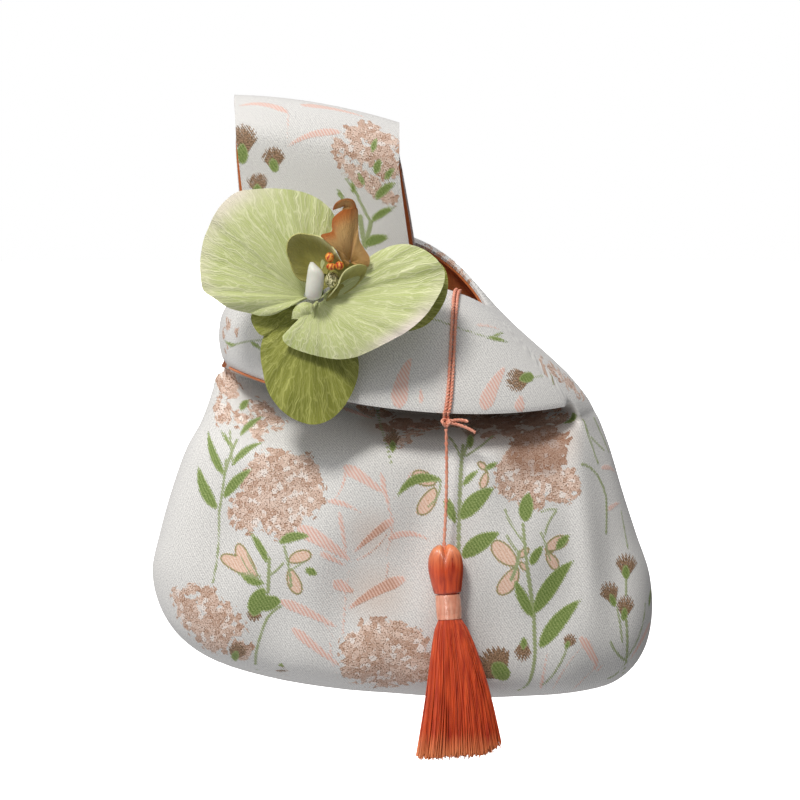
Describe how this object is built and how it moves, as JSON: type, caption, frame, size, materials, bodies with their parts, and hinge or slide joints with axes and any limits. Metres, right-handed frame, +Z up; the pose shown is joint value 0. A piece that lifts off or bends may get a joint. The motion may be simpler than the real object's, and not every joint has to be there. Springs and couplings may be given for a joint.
{
  "type": "wristlet",
  "caption": "Knot-bag wristlet: a floral brocade pouch with a wrist loop drawn through a collar band, a silk orchid on the band and a tassel on a cord.",
  "frame": {"origin": "under the top of the long handle, at the middle of its width, where it lies on a wrist", "axes": "+X to the right as seen from the front, +Y from front to back, +Z up; the front carries the orchid and the tassel"},
  "size_m": [0.2095, 0.1232, 0.2753],
  "materials": {
    "brocade": "satin jacquard with a floral pattern",
    "lining_satin": "satin",
    "petal_cloth": "dyed, veined, matt",
    "sepal_cloth": "dyed, matt",
    "lip_cloth": "dyed, matt",
    "column_plastic": "satin",
    "post_plastic": "matt",
    "coral_cord": "twisted, silky",
    "tassel_thread": "silky",
    "wrap_thread": "wound, silky"
  },
  "bodies": {
    "root": {"pouch_front": "brocade", "pouch_back": "brocade", "long_handle": "brocade", "long_handle_lining": "lining_satin", "short_handle": "brocade", "short_handle_lining": "lining_satin", "petal_left": "petal_cloth", "petal_right": "petal_cloth", "sepal_low": "sepal_cloth", "sepal_right": "sepal_cloth", "sepal_left": "sepal_cloth", "lip": "lip_cloth", "column": "column_plastic", "flower_post": "post_plastic", "cord_loop": "coral_cord", "cord_knot": "coral_cord", "tassel_cord": "coral_cord", "tassel": "tassel_thread", "tassel_wrap": "wrap_thread"}
  },
  "joints": []
}
